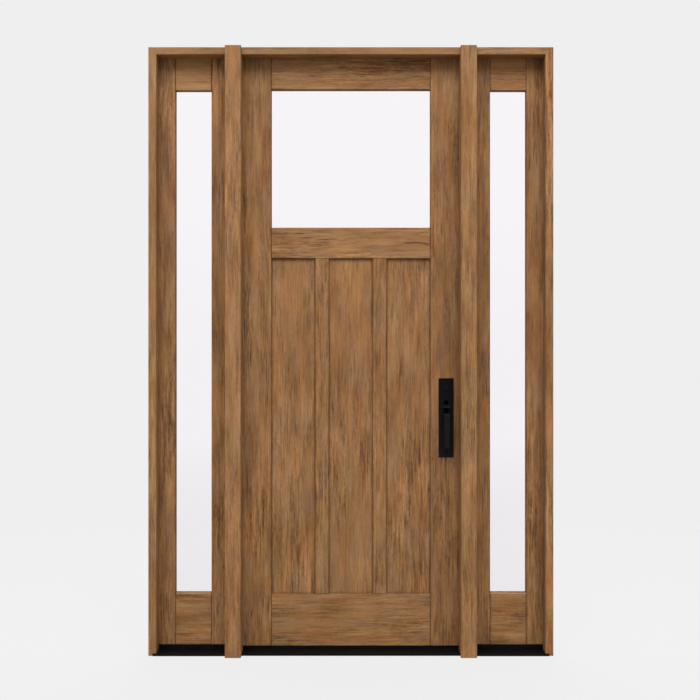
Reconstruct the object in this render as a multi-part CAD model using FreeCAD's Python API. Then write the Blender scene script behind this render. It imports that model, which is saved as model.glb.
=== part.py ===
import FreeCAD, Part
import math
import os

# Exterior door with a sidelight on each side, in millimetres.
# X runs along the wall, from the hinge side to the lock side, and its zero is the door's centre line.
# Y runs from outdoors to indoors, and its zero is the middle of the frame's depth.
# Z runs up from the underside of the threshold.

# Door leaf
slab_width = 910.0
slab_height = 2435.0
slab_thickness = 44.0
door_stile_width = 127.0
door_top_rail_width = 138.5
door_mid_rail_width = 127.0
door_bottom_rail_width = 214.0
door_light_height = 570.0
mullion_width = 57.0
mullion_count = 2
panel_thickness = 20.0
lock_edge_bevel = 2.3

# Sidelight leaf
sidelight_width = 308.5
sidelight_inner_stile_width = 77.5
sidelight_outer_stile_width = 82.5
sidelight_top_rail_width = 146.0
sidelight_bottom_rail_width = 214.0
sidelight_wash_fall = 5.0

# Joinery shared by the leaves
arris = 2.0
groove_depth = 12.0
panel_play = 1.0
tenon_thickness = 14.0
tenon_length = 45.0
tenon_shoulder = 30.0
glazing_rebate = 10.0
outer_glazing_stop = 19.0
glass_thickness = 6.0
glass_play = 2.0
bead_play = 0.2
bead_bevel = 6.0

# Frame
frame_depth = 116.0
jamb_thickness = 32.0
head_thickness = 29.5
stop_projection = 14.5
leaf_recess = 70.0
frame_arris = 1.5
post_width = 65.0
post_depth = 38.0
unit_joint = 1.0

# Gaps round the leaves
door_side_gap = 5.0
door_top_gap = 5.0
door_bottom_gap = 5.0
door_stop_gap = 5.0
sidelight_side_gap = 1.5
sidelight_top_gap = 1.5

# Door threshold
threshold_nose_height = 9.0
threshold_slope_top = 12.5
threshold_cap_height = 20.0
threshold_cap_setback = 2.0
threshold_corner = 1.5

# Sidelight sill
sill_projection = 6.0
sill_nose_height = 9.5
sill_slope_top = 12.5
sill_seat_height = 30.5
sill_corner = 1.5

# Weatherstrip
strip_width = 10.0
strip_touch_gap = 0.3
strip_round = 2.0

# Hinges
hinge_count = 4
hinge_height = 100.0
hinge_leaf_width = 44.0
hinge_leaf_thickness = 3.0
hinge_top_inset = 180.0
hinge_bottom_inset = 250.0
knuckle_count = 3
knuckle_radius = 7.0
knuckle_gap = 0.5
knuckle_relief = 1.5
barrel_stand_off = 1.0
pin_radius = 3.2
pin_fit = 0.3
pin_head_radius = 5.5
pin_head_height = 4.0

# Lock set
backset = 62.0
lock_plate_width = 62.0
lock_plate_drop = 211.0
lock_plate_height = 326.0
lock_plate_thickness = 5.0
lock_plate_bevel = 2.0
latch_height = 1015.0
key_rise = 77.0
cylinder_radius = 15.0
cylinder_projection = 3.0
cylinder_bevel = 1.0
keyway_width = 4.0
keyway_height = 11.0
keyway_depth = 2.5
latch_window_width = 18.0
latch_window_drop = 28.0
latch_window_rise = 23.0
latch_well_depth = 27.0
latch_well_wall = 1.0
latch_pivot_depth = 10.0
latch_pivot_radius = 2.5
latch_pivot_fit = 0.3
latch_pivot_bearing = 6.0
latch_barrel_radius = 5.5
latch_barrel_play = 1.0
latch_tang_width = 8.0
latch_tang_thickness = 8.0
latch_paddle_width = 31.0
latch_paddle_reach = 38.0
latch_paddle_clearance = 7.0
latch_paddle_thickness = 8.0
latch_paddle_tip = 4.0
latch_paddle_dip = 5.0
latch_paddle_bevel = 1.5

# Pull grip
grip_width = 23.0
grip_thickness = 14.0
grip_stand_off = 48.0
grip_top_drop = 29.0
grip_height = 145.0
grip_bend = 8.0
grip_inside_bend = 5.0
grip_arris = 2.0

# Indoor lever and thumb turn
rose_radius = 24.0
rose_thickness = 6.0
lever_neck_radius = 9.0
lever_neck_length = 34.0
lever_length = 118.0
lever_height = 20.0
lever_thickness = 13.0
lever_tip_radius = 9.0
turn_rose_radius = 18.0
turn_width = 9.0
turn_height = 30.0
turn_depth = 20.0
turn_bevel = 2.0

# Lock edge
faceplate_width = 25.0
faceplate_height = 210.0
faceplate_thickness = 2.5
faceplate_corner = 4.0
faceplate_bottom_drop = 72.0
latch_bolt_height = 24.0
dead_bolt_height = 30.0
bolt_width = 13.0
bolt_length = 30.0
bolt_play = 0.3
strike_width = 32.0
strike_thickness = 2.0
strike_pocket_depth = 14.0

# Places that follow from the sizes
frame_front = -frame_depth / 2
frame_back = frame_depth / 2
leaf_front = frame_front + leaf_recess
leaf_back = leaf_front + slab_thickness
leaf_middle = (leaf_front + leaf_back) / 2
door_stop_back = leaf_front - door_stop_gap
glass_front = leaf_front + outer_glazing_stop
glass_back = glass_front + glass_thickness

slab_half = slab_width / 2
slab_bottom = threshold_cap_height + door_bottom_gap
slab_top = slab_bottom + slab_height
door_rabbet_half = slab_half + door_side_gap
door_clear_half = door_rabbet_half - stop_projection
door_light_half = slab_half - door_stile_width
door_light_top = slab_top - door_top_rail_width
door_light_bottom = door_light_top - door_light_height
mid_rail_bottom = door_light_bottom - door_mid_rail_width
bottom_rail_top = slab_bottom + door_bottom_rail_width
panel_space = (2 * door_light_half - mullion_count * mullion_width) / (mullion_count + 1)

head_rabbet = slab_top + door_top_gap
head_clear = head_rabbet - stop_projection
unit_height = head_clear + head_thickness

door_jamb_outer = door_clear_half + jamb_thickness
post_inner = door_clear_half
post_outer = post_inner + post_width
side_clear_inner = door_jamb_outer + unit_joint + jamb_thickness
side_rabbet_inner = side_clear_inner - stop_projection
side_rabbet_outer = side_rabbet_inner + sidelight_width + 2 * sidelight_side_gap
side_clear_outer = side_rabbet_outer - stop_projection
unit_half = side_clear_outer + jamb_thickness
side_leaf_inner = side_rabbet_inner + sidelight_side_gap
side_leaf_outer = side_leaf_inner + sidelight_width
side_leaf_top = head_rabbet - sidelight_top_gap
side_light_inner = side_leaf_inner + sidelight_inner_stile_width
side_light_outer = side_leaf_outer - sidelight_outer_stile_width
side_light_top = side_leaf_top - sidelight_top_rail_width
side_light_bottom = sill_seat_height + sidelight_bottom_rail_width

pin_x = -(slab_half + door_side_gap / 2)
pin_y = frame_back + knuckle_radius + barrel_stand_off
knuckle_length = (hinge_height - (knuckle_count - 1) * knuckle_gap) / knuckle_count
hinge_low = slab_bottom + hinge_bottom_inset
hinge_high = slab_top - hinge_top_inset

lock_x = slab_half - backset
plate_front = leaf_front - lock_plate_thickness
grip_back = plate_front - grip_stand_off
grip_front = grip_back - grip_thickness
grip_top = latch_height - grip_top_drop
key_height = latch_height + key_rise
lock_plate_bottom = latch_height - lock_plate_drop
latch_pivot_y = leaf_front + latch_pivot_depth
bevel_angle = math.degrees(math.atan2(lock_edge_bevel, slab_thickness))

parts = {}


def vector(x, y, z):
    return FreeCAD.Vector(x, y, z)


def box(x0, x1, y0, y1, z0, z1):
    return Part.makeBox(x1 - x0, y1 - y0, z1 - z0, vector(x0, y0, z0))


def mirrored(shape):
    return shape.mirror(vector(0, 0, 0), vector(1, 0, 0))


def prism(outline, direction):
    # A closed outline of points, pushed along a direction.
    wire = Part.makePolygon(outline + [outline[0]])
    return Part.Face(wire).extrude(direction)


def bevelled(shape, size, chosen):
    edges = [edge for edge in shape.Edges if chosen(edge)]
    return shape.makeChamfer(size, edges)


def rounded(shape, size, chosen):
    edges = [edge for edge in shape.Edges if chosen(edge)]
    return shape.makeFillet(size, edges)


def lies_on(edge, axis, place):
    # True where the whole edge has one value along an axis.
    return all(abs(getattr(vertex.Point, axis) - place) < 1e-6 for vertex in edge.Vertexes)


def runs_along(edge, axis):
    start, end = edge.Vertexes[0].Point, edge.Vertexes[-1].Point
    return abs(getattr(start, axis) - getattr(end, axis)) > 1e-6


def board(x0, x1, z0, z1):
    # A leaf member of full thickness with eased arrises on both faces.
    plain = box(x0, x1, leaf_front, leaf_back, z0, z1)
    return bevelled(plain, arris, lambda edge: lies_on(edge, "y", leaf_front) or lies_on(edge, "y", leaf_back))


def rail(x0, x1, z0, z1):
    # A rail between two stiles, with a stub tenon at each end.
    low = z0 + tenon_shoulder
    high = z1 - tenon_shoulder
    tenon = box(x0 - tenon_length, x1 + tenon_length, leaf_middle - tenon_thickness / 2,
                leaf_middle + tenon_thickness / 2, low, high)
    return board(x0, x1, z0, z1).fuse(tenon)


def rail_wash(x0, x1, top):
    # The wedge planed off a rail's top edge outdoors, so that water runs off from the glass.
    clear = 1
    fall = sidelight_wash_fall
    slope = fall / outer_glazing_stop
    outline = [
        vector(x0, glass_front, top),
        vector(x0, leaf_front - clear, top - fall - clear * slope),
        vector(x0, leaf_front - clear, top + clear),
        vector(x0, glass_front, top + clear),
    ]
    return prism(outline, vector(x1 - x0, 0, 0))


def panel_groove(x0, x1, z0, z1):
    return box(x0, x1, leaf_middle - panel_thickness / 2, leaf_middle + panel_thickness / 2, z0, z1)


def glazing_cut(x0, x1, z0, z1):
    # The rebate that the glass and its bead go into from indoors.
    return box(x0 - glazing_rebate, x1 + glazing_rebate, glass_front, leaf_back + 1,
               z0 - glazing_rebate, z1 + glazing_rebate)


def glass_pane(x0, x1, z0, z1):
    reach = glazing_rebate - glass_play
    return box(x0 - reach, x1 + reach, glass_front, glass_back, z0 - reach, z1 + reach)


def glazing_bead(x0, x1, z0, z1):
    # Four mitred strips, joined into one ring, with the indoor inner arris bevelled.
    reach = glazing_rebate - bead_play
    ring = box(x0 - reach, x1 + reach, glass_back, leaf_back, z0 - reach, z1 + reach)
    hole = box(x0, x1, glass_back - 1, leaf_back + 1, z0, z1)
    near = Part.makePolygon(rectangle(x0, x1, leaf_back - bead_bevel, z0, z1))
    far = Part.makePolygon(rectangle(x0 - bead_bevel, x1 + bead_bevel, leaf_back, z0 - bead_bevel,
                                     z1 + bead_bevel))
    mouth = Part.makeLoft([near, far], True, True)
    return ring.cut(hole).cut(mouth)


def rectangle(x0, x1, y, z0, z1):
    corners = [vector(x0, y, z0), vector(x1, y, z0), vector(x1, y, z1), vector(x0, y, z1)]
    return corners + [corners[0]]


def cylinder(radius, length, start, direction):
    return Part.makeCylinder(radius, length, start, direction)


# Frame members

def upright_jamb(clear, rabbet, outer, stop_back):
    # An upright with its stop towards the opening, seen from above as an L.
    toward = 1 if outer > clear else -1
    ease = frame_arris * toward
    outline = [
        vector(clear, frame_front + frame_arris, 0),
        vector(clear + ease, frame_front, 0),
        vector(outer, frame_front, 0),
        vector(outer, frame_back, 0),
        vector(rabbet + ease, frame_back, 0),
        vector(rabbet, frame_back - frame_arris, 0),
        vector(rabbet, stop_back, 0),
        vector(clear, stop_back, 0),
    ]
    return prism(outline, vector(0, 0, unit_height))


def head(x0, x1, stop_back):
    # The head runs into a housing in each upright.
    outline = [
        vector(x0, frame_front + frame_arris, head_clear),
        vector(x0, frame_front, head_clear + frame_arris),
        vector(x0, frame_front, unit_height),
        vector(x0, frame_back, unit_height),
        vector(x0, frame_back, head_rabbet + frame_arris),
        vector(x0, frame_back - frame_arris, head_rabbet),
        vector(x0, stop_back, head_rabbet),
        vector(x0, stop_back, head_clear),
    ]
    return prism(outline, vector(x1 - x0, 0, 0))


def door_threshold():
    step = leaf_front + threshold_cap_setback
    outline = [
        vector(-door_rabbet_half, frame_front, 0),
        vector(-door_rabbet_half, frame_front, threshold_nose_height - threshold_corner),
        vector(-door_rabbet_half, frame_front + threshold_corner, threshold_nose_height),
        vector(-door_rabbet_half, leaf_front, threshold_slope_top),
        vector(-door_rabbet_half, step, threshold_slope_top),
        vector(-door_rabbet_half, step, threshold_cap_height - threshold_corner),
        vector(-door_rabbet_half, step + threshold_corner, threshold_cap_height),
        vector(-door_rabbet_half, frame_back - threshold_corner, threshold_cap_height),
        vector(-door_rabbet_half, frame_back, threshold_cap_height - threshold_corner),
        vector(-door_rabbet_half, frame_back, 0),
    ]
    return prism(outline, vector(2 * door_rabbet_half, 0, 0))


def sidelight_sill():
    # The nose stands in front of the frame, and stops at the side of the post.
    nose = frame_front - sill_projection
    start = side_rabbet_inner
    outline = [
        vector(start, nose, 0),
        vector(start, nose, sill_nose_height - sill_corner),
        vector(start, nose + sill_corner, sill_nose_height),
        vector(start, leaf_front, sill_slope_top),
        vector(start, leaf_front, sill_seat_height - sill_corner),
        vector(start, leaf_front + sill_corner, sill_seat_height),
        vector(start, frame_back - sill_corner, sill_seat_height),
        vector(start, frame_back, sill_seat_height - sill_corner),
        vector(start, frame_back, 0),
    ]
    return prism(outline, vector(side_rabbet_outer - start, 0, 0))


def mull_post():
    plain = box(post_inner, post_outer, frame_front - post_depth, frame_front, 0, unit_height)
    front = frame_front - post_depth
    return bevelled(plain, frame_arris, lambda edge: lies_on(edge, "y", front) and runs_along(edge, "z"))


def frame_members():
    post = mull_post()
    threshold = door_threshold()
    door_head = head(-door_rabbet_half, door_rabbet_half, door_stop_back)
    lock_jamb = upright_jamb(door_clear_half, door_rabbet_half, door_jamb_outer, door_stop_back)
    lock_jamb = lock_jamb.cut(door_head).cut(threshold)
    parts["door_threshold"] = threshold
    parts["door_head"] = door_head
    parts["door_jamb_lock_side"] = lock_jamb
    parts["door_jamb_hinge_side"] = mirrored(lock_jamb)

    sill = sidelight_sill().cut(post)
    side_head = head(side_rabbet_inner, side_rabbet_outer, leaf_front)
    inner_jamb = upright_jamb(side_clear_inner, side_rabbet_inner, door_jamb_outer + unit_joint, leaf_front)
    outer_jamb = upright_jamb(side_clear_outer, side_rabbet_outer, unit_half, leaf_front)
    made = {
        "mull_post": post,
        "sidelight_sill": sill,
        "sidelight_head": side_head,
        "sidelight_inner_jamb": inner_jamb.cut(side_head).cut(sill),
        "sidelight_outer_jamb": outer_jamb.cut(side_head).cut(sill),
    }
    for name, shape in made.items():
        parts["right_" + name] = shape
        parts["left_" + name] = mirrored(shape)


def weatherstrip():
    # A foam strip in the corner of the rabbet, up both jambs and across the head.
    back = leaf_front - strip_touch_gap
    outer = box(-door_rabbet_half, door_rabbet_half, door_stop_back, back, threshold_cap_height, head_rabbet)
    inner_half = door_rabbet_half - strip_width
    inner = box(-inner_half, inner_half, door_stop_back - 1, back + 1, threshold_cap_height - 1,
                head_rabbet - strip_width)
    ring = outer.cut(inner)
    parts["door_weatherstrip"] = rounded(
        ring, strip_round,
        lambda edge: lies_on(edge, "y", back)
        and (lies_on(edge, "x", inner_half) or lies_on(edge, "x", -inner_half)
             or lies_on(edge, "z", head_rabbet - strip_width)))


# Door leaf

def door_leaf():
    light = (-door_light_half, door_light_half, door_light_bottom, door_light_top)
    rebate = glazing_cut(*light)
    panel_low = bottom_rail_top - groove_depth
    panel_high = mid_rail_bottom + groove_depth

    top_rail = rail(-door_light_half, door_light_half, door_light_top, slab_top)
    mid_rail = rail(-door_light_half, door_light_half, mid_rail_bottom, door_light_bottom)
    bottom_rail = rail(-door_light_half, door_light_half, slab_bottom, bottom_rail_top)
    rails = [top_rail, mid_rail, bottom_rail]

    stile = board(door_light_half, slab_half, slab_bottom, slab_top)
    stile = stile.cut(panel_groove(0, door_light_half + groove_depth, panel_low, panel_high))
    stile = stile.cut(rebate)
    for member in rails:
        stile = stile.cut(member)
    parts["door_lock_stile"] = lock_stile_cuts(stile)
    parts["door_hinge_stile"] = mirrored(stile).cut(hinge_mortises(-slab_half))

    span = panel_groove(-door_light_half, door_light_half, panel_low, panel_high)
    parts["door_top_rail"] = top_rail.cut(rebate)
    parts["door_mid_rail"] = mid_rail.cut(rebate).cut(span)
    parts["door_bottom_rail"] = bottom_rail.cut(span)

    parts["door_glass"] = glass_pane(*light)
    parts["door_glazing_bead"] = glazing_bead(*light)

    pitch = panel_space + mullion_width
    for index in range(mullion_count):
        start = -door_light_half + panel_space + index * pitch
        end = start + mullion_width
        mullion = board(start, end, bottom_rail_top, mid_rail_bottom)
        mullion = mullion.fuse(panel_groove(start, end, panel_low, panel_high))
        mullion = mullion.cut(panel_groove(start - 1, start + groove_depth, panel_low - 1, panel_high + 1))
        mullion = mullion.cut(panel_groove(end - groove_depth, end + 1, panel_low - 1, panel_high + 1))
        parts["door_mullion_" + str(index + 1)] = mullion
    reach = groove_depth - panel_play
    for index in range(mullion_count + 1):
        start = -door_light_half + index * pitch
        parts["door_panel_" + str(index + 1)] = panel_groove(
            start - reach, start + panel_space + reach, bottom_rail_top - reach, mid_rail_bottom + reach)


# Sidelight leaves

def sidelight_leaf():
    light = (side_light_inner, side_light_outer, side_light_bottom, side_light_top)
    rebate = glazing_cut(*light)
    top_rail = rail(side_light_inner, side_light_outer, side_light_top, side_leaf_top)
    bottom_rail = rail(side_light_inner, side_light_outer, sill_seat_height, side_light_bottom)
    bottom_rail = bottom_rail.cut(rail_wash(side_light_inner, side_light_outer, side_light_bottom))
    inner_stile = board(side_leaf_inner, side_light_inner, sill_seat_height, side_leaf_top)
    outer_stile = board(side_light_outer, side_leaf_outer, sill_seat_height, side_leaf_top)
    made = {
        "sidelight_top_rail": top_rail.cut(rebate),
        "sidelight_bottom_rail": bottom_rail.cut(rebate),
        "sidelight_inner_stile": inner_stile.cut(rebate).cut(top_rail).cut(bottom_rail),
        "sidelight_outer_stile": outer_stile.cut(rebate).cut(top_rail).cut(bottom_rail),
        "sidelight_glass": glass_pane(*light),
        "sidelight_glazing_bead": glazing_bead(*light),
    }
    for name, shape in made.items():
        parts["right_" + name] = shape
        parts["left_" + name] = mirrored(shape)


# Hinges

def hinge_places():
    step = (hinge_high - hinge_low) / (hinge_count - 1)
    return [hinge_low + index * step for index in range(hinge_count)]


def hinge_plate(x0, middle):
    # A flat square-cornered leaf, from its far edge to the middle of the barrel.
    low = middle - hinge_height / 2
    return box(x0, x0 + hinge_leaf_thickness, pin_y - hinge_leaf_width, pin_y, low, low + hinge_height)


def hinge_mortises(x0):
    # The sinkings that take the leaves, on the jamb or on the door's edge.
    cuts = [hinge_plate(x0, middle) for middle in hinge_places()]
    return Part.makeCompound(cuts)


def knuckle(middle, index):
    low = middle - hinge_height / 2 + index * (knuckle_length + knuckle_gap)
    return cylinder(knuckle_radius, knuckle_length, vector(pin_x, pin_y, low), vector(0, 0, 1))


def knuckle_notch(x0, middle, index):
    # The square notch that a leaf has beside a knuckle of the other leaf.
    low = middle - hinge_height / 2 + index * (knuckle_length + knuckle_gap) - knuckle_gap
    return box(x0 - 1, x0 + hinge_leaf_thickness + 1, pin_y - knuckle_radius - knuckle_relief, pin_y + 1,
               low, low + knuckle_length + 2 * knuckle_gap)


def hinge_half(x0, middle, own, other):
    leaf = hinge_plate(x0, middle)
    for index in other:
        leaf = leaf.cut(knuckle_notch(x0, middle, index))
    for index in own:
        leaf = leaf.fuse(knuckle(middle, index))
    bore = cylinder(pin_radius + pin_fit, hinge_height, vector(pin_x, pin_y, middle - hinge_height / 2),
                    vector(0, 0, 1))
    return leaf.cut(bore).removeSplitter()


def hinge_pin(middle):
    low = middle - hinge_height / 2
    shank = cylinder(pin_radius, hinge_height, vector(pin_x, pin_y, low), vector(0, 0, 1))
    button = cylinder(pin_head_radius, pin_head_height, vector(pin_x, pin_y, low + hinge_height),
                      vector(0, 0, 1))
    return shank.fuse(button)


def hinges():
    frame_knuckles = range(0, knuckle_count, 2)
    door_knuckles = range(1, knuckle_count, 2)
    jamb_face = -door_rabbet_half
    frame_leaves = []
    door_leaves = []
    pins = []
    for middle in hinge_places():
        frame_leaves.append(hinge_half(jamb_face - hinge_leaf_thickness, middle, frame_knuckles, door_knuckles))
        door_leaves.append(hinge_half(-slab_half, middle, door_knuckles, frame_knuckles))
        pins.append(hinge_pin(middle))
    parts["hinge_frame_leaves"] = Part.makeCompound(frame_leaves)
    parts["hinge_door_leaves"] = Part.makeCompound(door_leaves)
    parts["hinge_pins"] = Part.makeCompound(pins)
    mortises = hinge_mortises(jamb_face - hinge_leaf_thickness)
    parts["door_jamb_hinge_side"] = parts["door_jamb_hinge_side"].cut(mortises)


# Lock set

def on_lock_edge(shape):
    # Turns a shape made square to the slab so that it follows the bevelled lock edge.
    shape.rotate(vector(slab_half, leaf_back, 0), vector(0, 0, 1), -bevel_angle)
    return shape


def edge_plate(width, height, thickness, x0, low):
    plate = box(x0, x0 + thickness, leaf_middle - width / 2, leaf_middle + width / 2, low, low + height)
    return rounded(plate, faceplate_corner, lambda edge: runs_along(edge, "x"))


def bolt_shapes(play, x0, x1):
    # The latch bolt and the dead bolt, drawn back into the door.
    shapes = []
    for middle, height in ((latch_height, latch_bolt_height), (key_height, dead_bolt_height)):
        shapes.append(box(x0, x1, leaf_middle - bolt_width / 2 - play, leaf_middle + bolt_width / 2 + play,
                          middle - height / 2 - play, middle + height / 2 + play))
    return Part.makeCompound(shapes)


def lock_stile_cuts(stile):
    # Bevels the lock edge and makes room for the bolts, the plate, the latch's well and its pivot.
    wedge = prism([
        vector(slab_half, leaf_back, slab_bottom - 1),
        vector(slab_half - lock_edge_bevel, leaf_front, slab_bottom - 1),
        vector(slab_half - lock_edge_bevel, leaf_front - 1, slab_bottom - 1),
        vector(slab_half + 1, leaf_front - 1, slab_bottom - 1),
        vector(slab_half + 1, leaf_back, slab_bottom - 1),
    ], vector(0, 0, slab_height + 2))
    stile = stile.cut(wedge)
    low = latch_height - faceplate_bottom_drop
    plate = edge_plate(faceplate_width, faceplate_height, faceplate_thickness + 1,
                       slab_half - faceplate_thickness, low)
    stile = stile.cut(on_lock_edge(plate))
    stile = stile.cut(on_lock_edge(bolt_shapes(bolt_play, slab_half - bolt_length, slab_half + 1)))
    pocket = latch_window(latch_well_wall, leaf_front - 1, leaf_front + latch_well_depth + latch_well_wall)
    return stile.cut(pocket).cut(latch_pivot())


def latch_window(wall, y0, y1):
    # The space that the latch moves in, with a wall's thickness added all round.
    half = latch_window_width / 2 + wall
    return box(lock_x - half, lock_x + half, y0, y1, latch_height - latch_window_drop - wall,
               latch_height + latch_window_rise + wall)


def latch_well():
    # A sheet-metal cup let into the stile behind the window in the plate.
    floor = leaf_front + latch_well_depth
    cup = latch_window(latch_well_wall, leaf_front, floor + latch_well_wall)
    return cup.cut(latch_window(0, leaf_front - 1, floor)).cut(latch_pivot())


def latch_pivot():
    half = latch_window_width / 2 + latch_pivot_bearing
    return cylinder(latch_pivot_radius, 2 * half, vector(lock_x - half, latch_pivot_y, latch_height),
                    vector(1, 0, 0))


def lock_plate(back, thickness):
    # An upright plate with its outer face bevelled all round.
    front = back + thickness
    low, high = min(back, front), max(back, front)
    plate = box(lock_x - lock_plate_width / 2, lock_x + lock_plate_width / 2, low, high, lock_plate_bottom,
                lock_plate_bottom + lock_plate_height)
    return bevelled(plate, lock_plate_bevel, lambda edge: lies_on(edge, "y", front))


def lock_cylinder():
    base = plate_front
    body = cylinder(cylinder_radius, cylinder_projection, vector(lock_x, base, key_height), vector(0, -1, 0))
    face = base - cylinder_projection
    body = bevelled(body, cylinder_bevel, lambda edge: lies_on(edge, "y", face))
    slot = box(lock_x - keyway_width / 2, lock_x + keyway_width / 2, face - 1, face + keyway_depth,
               key_height - keyway_height / 2, key_height + keyway_height / 2)
    return body.cut(slot)


def thumb_latch():
    # A paddle that dips to its tip outside the plate, a tang through the window and a barrel on the pivot.
    barrel_half = latch_window_width / 2 - latch_barrel_play
    barrel = cylinder(latch_barrel_radius, 2 * barrel_half, vector(lock_x - barrel_half, latch_pivot_y,
                      latch_height), vector(1, 0, 0))
    rear = plate_front - latch_paddle_clearance
    tip = rear - latch_paddle_reach
    tang_low = latch_height - latch_tang_thickness / 2
    tang_high = latch_height + latch_tang_thickness / 2
    tang = box(lock_x - latch_tang_width / 2, lock_x + latch_tang_width / 2, rear - latch_paddle_reach / 2,
               latch_pivot_y, tang_low, tang_high)
    half = latch_paddle_width / 2
    tip_high = tang_high - latch_paddle_dip
    paddle = prism([
        vector(lock_x - half, rear, tang_high),
        vector(lock_x - half, tip, tip_high),
        vector(lock_x - half, tip, tip_high - latch_paddle_tip),
        vector(lock_x - half, rear, tang_high - latch_paddle_thickness),
    ], vector(latch_paddle_width, 0, 0))
    paddle = bevelled(paddle, latch_paddle_bevel, lambda edge: lies_on(edge, "y", tip) and runs_along(edge, "z")
                      or (runs_along(edge, "y") and edge.CenterOfMass.z > latch_height))
    latch = paddle.fuse(tang).fuse(barrel)
    bore = cylinder(latch_pivot_radius + latch_pivot_fit, 2 * barrel_half,
                    vector(lock_x - barrel_half, latch_pivot_y, latch_height), vector(1, 0, 0))
    return latch.cut(bore).removeSplitter()


def pull_grip():
    # A flat bar bent back to the plate at both ends.
    bottom = grip_top - grip_height
    outer = box(lock_x - grip_width / 2, lock_x + grip_width / 2, grip_front, plate_front, bottom, grip_top)
    outer = rounded(outer, grip_bend, lambda edge: runs_along(edge, "x") and lies_on(edge, "y", grip_front))
    inner = box(lock_x - grip_width / 2 - 1, lock_x + grip_width / 2 + 1, grip_back, plate_front + 1,
                bottom + grip_thickness, grip_top - grip_thickness)
    inner = rounded(inner, grip_inside_bend,
                    lambda edge: runs_along(edge, "x") and lies_on(edge, "y", grip_back))
    grip = outer.cut(inner)
    sides = (lock_x - grip_width / 2, lock_x + grip_width / 2)
    return bevelled(grip, grip_arris, lambda edge: any(lies_on(edge, "x", side) for side in sides)
                    and not lies_on(edge, "y", plate_front))


def indoor_lever():
    base = leaf_back + lock_plate_thickness
    rose = cylinder(rose_radius, rose_thickness, vector(lock_x, base, latch_height), vector(0, 1, 0))
    face = base + rose_thickness
    rose = bevelled(rose, lock_plate_bevel, lambda edge: lies_on(edge, "y", face))
    neck = cylinder(lever_neck_radius, lever_neck_length, vector(lock_x, face, latch_height), vector(0, 1, 0))
    end = face + lever_neck_length
    bar = box(lock_x - lever_length, lock_x + lever_neck_radius, end, end + lever_thickness,
              latch_height - lever_height / 2, latch_height + lever_height / 2)
    bar = rounded(bar, lever_tip_radius, lambda edge: runs_along(edge, "y"))
    bar = bevelled(bar, grip_arris, lambda edge: lies_on(edge, "y", end + lever_thickness))
    return rose.fuse(neck).fuse(bar).removeSplitter()


def thumb_turn():
    base = leaf_back + lock_plate_thickness
    rose = cylinder(turn_rose_radius, rose_thickness, vector(lock_x, base, key_height), vector(0, 1, 0))
    face = base + rose_thickness
    rose = bevelled(rose, lock_plate_bevel, lambda edge: lies_on(edge, "y", face))
    blade = box(lock_x - turn_width / 2, lock_x + turn_width / 2, face, face + turn_depth,
                key_height - turn_height / 2, key_height + turn_height / 2)
    blade = bevelled(blade, turn_bevel, lambda edge: lies_on(edge, "y", face + turn_depth))
    return rose.fuse(blade).removeSplitter()


def lock_set():
    window = latch_window(0, plate_front - 1, leaf_front + 1)
    parts["outside_lock_plate"] = lock_plate(leaf_front, -lock_plate_thickness).cut(window)
    parts["latch_well"] = latch_well()
    parts["lock_cylinder"] = lock_cylinder()
    parts["thumb_latch"] = thumb_latch()
    parts["latch_pivot"] = latch_pivot()
    parts["pull_grip"] = pull_grip()
    parts["inside_lock_plate"] = lock_plate(leaf_back, lock_plate_thickness)
    parts["inside_lever"] = indoor_lever()
    parts["inside_thumb_turn"] = thumb_turn()

    low = latch_height - faceplate_bottom_drop
    faceplate = edge_plate(faceplate_width, faceplate_height, faceplate_thickness,
                           slab_half - faceplate_thickness, low)
    openings = bolt_shapes(bolt_play, slab_half - bolt_length, slab_half + 1)
    parts["lock_faceplate"] = on_lock_edge(faceplate.cut(openings))
    parts["lock_bolts"] = on_lock_edge(bolt_shapes(0, slab_half - bolt_length, slab_half))

    face = door_rabbet_half
    strike = edge_plate(strike_width, faceplate_height, strike_thickness, face, low)
    holes = bolt_shapes(bolt_play, face - 1, face + strike_pocket_depth)
    jamb = parts["door_jamb_lock_side"].cut(strike).cut(holes)
    parts["strike_plate"] = strike.cut(holes)
    parts["door_jamb_lock_side"] = jamb


frame_members()
weatherstrip()
door_leaf()
sidelight_leaf()
hinges()
lock_set()

os.makedirs("parts", exist_ok=True)
triangles = 0
for name, shape in sorted(parts.items()):
    shape.exportStep("parts/" + name + ".step")
    facets = len(shape.tessellate(0.2)[1])
    triangles += facets
    print(name, len(shape.Solids), "solids", round(shape.Volume / 1000), "cm3", facets, "facets",
          "valid" if shape.isValid() else "NOT VALID")
print(len(parts), "nodes", triangles, "facets")
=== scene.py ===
import bpy
import bmesh
import math
import random
from mathutils import Euler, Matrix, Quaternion, Vector


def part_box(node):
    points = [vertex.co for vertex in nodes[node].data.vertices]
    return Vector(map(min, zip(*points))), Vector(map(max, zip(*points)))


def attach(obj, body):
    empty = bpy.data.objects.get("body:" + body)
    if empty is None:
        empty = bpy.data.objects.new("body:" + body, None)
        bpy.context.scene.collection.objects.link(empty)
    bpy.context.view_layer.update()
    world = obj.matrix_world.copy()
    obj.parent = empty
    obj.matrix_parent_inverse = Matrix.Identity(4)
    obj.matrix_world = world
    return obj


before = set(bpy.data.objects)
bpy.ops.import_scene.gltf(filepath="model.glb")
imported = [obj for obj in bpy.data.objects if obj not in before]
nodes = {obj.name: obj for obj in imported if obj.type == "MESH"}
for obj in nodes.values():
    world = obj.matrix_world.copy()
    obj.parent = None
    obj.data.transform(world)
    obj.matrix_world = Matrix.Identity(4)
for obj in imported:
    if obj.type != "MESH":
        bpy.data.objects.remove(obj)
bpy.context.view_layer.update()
print("frame loaded,", len(nodes), "pieces from the joiner's model")


# shader nodes in short

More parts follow.
